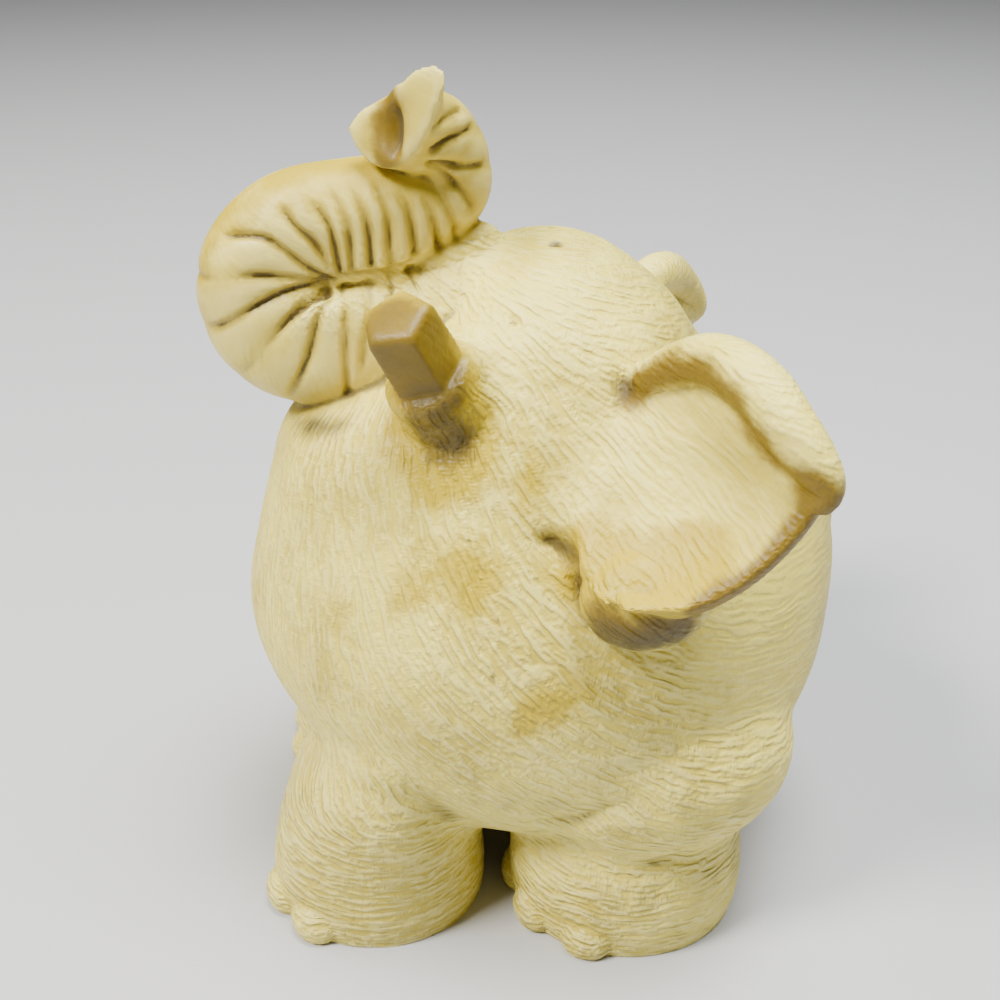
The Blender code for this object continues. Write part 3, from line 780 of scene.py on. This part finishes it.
# The stone's colours (linear), its sheen, and lengths in metres
stone = {
    "cream": (0.80, 0.66, 0.105, 1),
    "khaki": (0.55, 0.43, 0.045, 1),
    "pale": (0.90, 0.82, 0.32, 1),
    "ochre": (0.46, 0.325, 0.004, 1),
    # the rind and grime colours serve real brown and grime and also painted shade; the near-black colour below
    # is painted shade in grooves and hollows
    "rindAndShade": (0.19, 0.12, 0.006, 1),
    "dirt": (0.07, 0.048, 0.018, 1),
    "grimeAndShade": (0.10, 0.072, 0.014, 1),
    "tan": (0.48, 0.34, 0.045, 1),
    "coat": 0.05,
    "coatRoughness": 0.3,
    "specular": 0.3,
    "glow": 0.08,
    "glowRadius": (1.0, 0.7, 0.3),
    "glowScale": 0.002,
    "strokeLength": 0.00042,           # between the samples that draw a stroke out
    "strokeSamples": 3,                # on each side of the middle one
    "strokeScale": 1700,
    "wander": 0.0016,
    "bumpDepth": 0.00032,
    "bumpStrength": 0.8,
}


def stoneMaterial():
    material = bpy.data.materials.new("waxed stone")
    material.use_nodes = True
    nodes, links = material.node_tree.nodes, material.node_tree.links
    shader = nodes["Principled BSDF"]
    shader.inputs["Metallic"].default_value = 0
    shader.inputs["Coat Roughness"].default_value = stone["coatRoughness"]
    shader.inputs["Coat Weight"].default_value = stone["coat"]
    shader.inputs["Specular IOR Level"].default_value = stone["specular"]
    shader.inputs["Subsurface Weight"].default_value = stone["glow"]
    shader.inputs["Subsurface Radius"].default_value = stone["glowRadius"]
    shader.inputs["Subsurface Scale"].default_value = stone["glowScale"]

    def put(socket, value):
        if isinstance(value, bpy.types.NodeSocket):
            links.new(value, socket)
        else:
            socket.default_value = value

    def maths(operation, a, b=0.0, c=0.0):
        node = nodes.new("ShaderNodeMath")
        node.operation = operation
        for socket, value in zip(node.inputs, (a, b, c)):
            put(socket, value)
        return node.outputs[0]

    def vectorMaths(operation, a, b=(0, 0, 0), c=(0, 0, 0)):
        node = nodes.new("ShaderNodeVectorMath")
        node.operation = operation
        for socket, value in zip(node.inputs, (a, b, c)):
            put(socket, value)
        return node.outputs[0]

    def noise(place, scale, detail=2.0, roughness=0.5):
        node = nodes.new("ShaderNodeTexNoise")
        put(node.inputs["Vector"], place)
        node.inputs["Scale"].default_value = scale
        node.inputs["Detail"].default_value = detail
        node.inputs["Roughness"].default_value = roughness
        return node

    def ranged(value, low, high, bottom=0.0, top=1.0):
        node = nodes.new("ShaderNodeMapRange")
        node.interpolation_type = "SMOOTHSTEP"
        for socket, item in zip(node.inputs, (value, low, high, bottom, top)):
            put(socket, item)
        return node.outputs[0]

    def mixed(share, a, b):
        node = nodes.new("ShaderNodeMix")
        node.data_type = "RGBA"
        put(node.inputs["Factor"], share)
        put(node.inputs[6], a)
        put(node.inputs[7], b)
        return node.outputs[2]

    def layer(name):
        node = nodes.new("ShaderNodeAttribute")
        node.attribute_name = name
        return node

    place = nodes.new("ShaderNodeTexCoord").outputs["Object"]
    way = layer("strokeWay").outputs["Vector"]
    depth = layer("strokeDepth").outputs["Fac"]

    wander = noise(place, 160, 1).outputs["Color"]
    wander = vectorMaths("MULTIPLY_ADD", wander, (stone["wander"],) * 3, (-stone["wander"] / 2,) * 3)
    bent = vectorMaths("ADD", place, wander)
    total = None
    aside = stone["strokeSamples"]
    for step in range(-aside, aside + 1):
        reach = (step * stone["strokeLength"],) * 3
        sample = noise(vectorMaths("MULTIPLY_ADD", way, reach, bent), stone["strokeScale"], 0).outputs["Fac"]
        total = sample if total is None else maths("ADD", total, sample)
    streak = ranged(total, (2 * aside + 1) * 0.40, (2 * aside + 1) * 0.60)

    grainy = noise(place, 2600, 3, 0.6).outputs["Fac"]
    blotch = noise(place, 55, 3, 0.6).outputs["Fac"]
    cloud = noise(place, 210, 4, 0.6).outputs["Fac"]
    fineHollow = layer("fineHollow").outputs["Fac"]
    broadHollow = layer("broadHollow").outputs["Fac"]

    colour = mixed(ranged(blotch, 0.38, 0.62), stone["cream"], stone["khaki"])
    colour = mixed(maths("MULTIPLY", layer("trunkness").outputs["Fac"], 0.3), colour, stone["tan"])
    # painted highlight: the ridges of the strokes and the convex edges are made paler
    lit = maths("MULTIPLY", streak, maths("MULTIPLY", depth, 0.4))
    colour = mixed(lit, colour, stone["pale"])
    colour = mixed(ranged(fineHollow, -0.45, -1.0, 0, 0.3), colour, stone["pale"])
    # stains and painted shade with cloudy edges: how cloudy, where they start, where they are full, how full
    for name, cloudy, low, high, full in (("ochre", 1.4, 0.95, 1.5, 0.92), ("rindAndShade", 0.9, 0.7, 1.15, 1),
                                          ("grimeAndShade", 0.7, 0.65, 1.2, 1)):
        amount = maths("MULTIPLY_ADD", cloud, cloudy, layer(name).outputs["Fac"])
        colour = mixed(ranged(amount, low, high, 0, full), colour, stone[name])
    # painted shade: the grooves between the trunk's folds and the small and broad hollows are darkened towards
    # rind brown and near-black
    groove = layer("groove").outputs["Fac"]
    for hollow, low, high, full, name in ((groove, 0.12, 0.4, 0.45, "rindAndShade"), (groove, 0.4, 0.75, 0.8, "dirt"),
                                          (fineHollow, 0.3, 1.0, 0.45, "rindAndShade"),
                                          (broadHollow, 0.35, 1.0, 0.8, "dirt")):
        colour = mixed(ranged(hollow, low, high, 0, full), colour, stone[name])
    links.new(colour, shader.inputs["Base Color"])

    dull = maths("MULTIPLY_ADD", streak, -0.08, 0.46)
    dull = maths("ADD", dull, ranged(broadHollow, 0.2, 0.9, 0, 0.3))
    links.new(maths("MULTIPLY_ADD", grainy, 0.1, dull), shader.inputs["Roughness"])

    height = maths("MULTIPLY", streak, depth)
    height = maths("MULTIPLY_ADD", grainy, 0.16, height)
    bump = nodes.new("ShaderNodeBump")
    bump.inputs["Strength"].default_value = stone["bumpStrength"]
    bump.inputs["Distance"].default_value = stone["bumpDepth"]
    links.new(height, bump.inputs["Height"])
    links.new(bump.outputs["Normal"], shader.inputs["Normal"])
    return material


mesh = figureMesh()
print("skin wrapped", len(mesh.polygons), "faces")
carveSkin(mesh)
print("strokes carved")
mesh = thinned(mesh)
cutSoles(mesh)
print("thinned", len(mesh.polygons), "faces")
markSkin(mesh)
mesh.transform(Matrix.Translation((-moved[0] * unit, -moved[1] * unit, 0)))
mesh.materials.clear()
mesh.materials.append(stoneMaterial())
mesh.shade_smooth()
mesh.name = "carvedElephant"
carvedElephant = bpy.data.objects.new("carvedElephant", mesh)
bpy.context.scene.collection.objects.link(carvedElephant)
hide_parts("elephant")
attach(carvedElephant, "root")
print("elephant dressed")

# Floor, light and camera
studio = {
    "floorSize": 4.0,
    "floorColour": (0.46, 0.46, 0.46, 1),
    "worldColour": (0.86, 0.88, 0.92, 1),
    "worldStrength": 0.09,
    "cameraPlace": (0.13391, -0.00894, 0.123),
    "cameraPitch": 60.9,
    "cameraTurn": 88,
    "lens": 45,
    "sensor": 36,
    "aim": (0, 0, 0.05),
}
lights = {
    "key": {"place": (0.22, -0.42, 0.62), "size": 0.22, "power": 10.8, "colour": (1.0, 0.97, 0.92)},
    "top": {"place": (0.02, 0.1, 0.7), "size": 0.35, "power": 11.5, "colour": (0.96, 0.98, 1.0)},
    "fill": {"place": (0.7, 0.5, 0.35), "size": 0.6, "power": 0.25, "colour": (1.0, 1.0, 1.0)},
}


def addFloor():
    bm = bmesh.new()
    bmesh.ops.create_grid(bm, x_segments=1, y_segments=1, size=studio["floorSize"] / 2)
    sheet = bpy.data.meshes.new("floor")
    bm.to_mesh(sheet)
    bm.free()
    plain = bpy.data.materials.new("plain floor")
    plain.use_nodes = True
    plain.node_tree.nodes["Principled BSDF"].inputs["Base Color"].default_value = studio["floorColour"]
    plain.node_tree.nodes["Principled BSDF"].inputs["Roughness"].default_value = 0.7
    sheet.materials.append(plain)
    floor = bpy.data.objects.new("floor", sheet)
    bpy.context.scene.collection.objects.link(floor)


def addLight(name, facts):
    lamp = bpy.data.lights.new(name, "AREA")
    lamp.shape = "DISK"
    lamp.size = facts["size"]
    lamp.energy = facts["power"]
    lamp.color = facts["colour"]
    light = bpy.data.objects.new(name, lamp)
    light.location = facts["place"]
    towards = Vector(studio["aim"]) - Vector(facts["place"])
    light.rotation_euler = towards.to_track_quat("-Z", "Y").to_euler()
    bpy.context.scene.collection.objects.link(light)


def addCamera():
    lens = bpy.data.cameras.new("camera")
    lens.lens = studio["lens"]
    lens.sensor_width = studio["sensor"]
    lens.clip_start = 0.005
    camera = bpy.data.objects.new("camera", lens)
    camera.location = studio["cameraPlace"]
    camera.rotation_euler = (math.radians(studio["cameraPitch"]), 0, math.radians(studio["cameraTurn"]))
    bpy.context.scene.collection.objects.link(camera)
    bpy.context.scene.camera = camera


addFloor()
for name, facts in lights.items():
    addLight(name, facts)
addCamera()
world = bpy.data.worlds.new("studio")
world.use_nodes = True
world.node_tree.nodes["Background"].inputs["Color"].default_value = studio["worldColour"]
world.node_tree.nodes["Background"].inputs["Strength"].default_value = studio["worldStrength"]
bpy.context.scene.world = world
print("studio ready")
